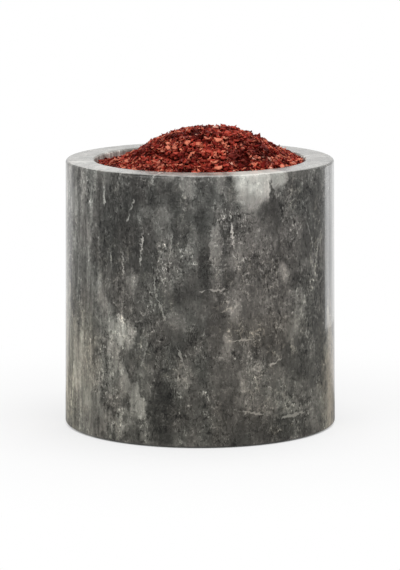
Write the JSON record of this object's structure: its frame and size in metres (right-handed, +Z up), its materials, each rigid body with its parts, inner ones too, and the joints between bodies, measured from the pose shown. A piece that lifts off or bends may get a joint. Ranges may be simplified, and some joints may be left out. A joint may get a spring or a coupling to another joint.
{
  "type": "open stone salt cellar",
  "caption": "Open straight-sided pot of polished grey marble with a round bowl, filled and heaped with coarse dried chilli flakes for pinching.",
  "frame": {"origin": "on the table under the middle of the pot, in the plane of the foot pads' lower faces", "axes": "+Z up along the pot's turning axis, -Y towards the front as pictured, +X to the right seen from the front"},
  "size_m": [0.0902, 0.0902, 0.1004],
  "materials": {
    "polished_marble": "polished",
    "pad_rubber": "matte",
    "packed_chilli": "matte",
    "dark_chilli": "satin",
    "red_chilli": "satin",
    "orange_chilli": "satin"
  },
  "bodies": {
    "root": {"stone_body": "polished_marble", "foot_pads": "pad_rubber", "chilli_bed": "packed_chilli", "flakes_dark": "dark_chilli", "flakes_red": "red_chilli", "flakes_orange": "orange_chilli"}
  },
  "joints": []
}
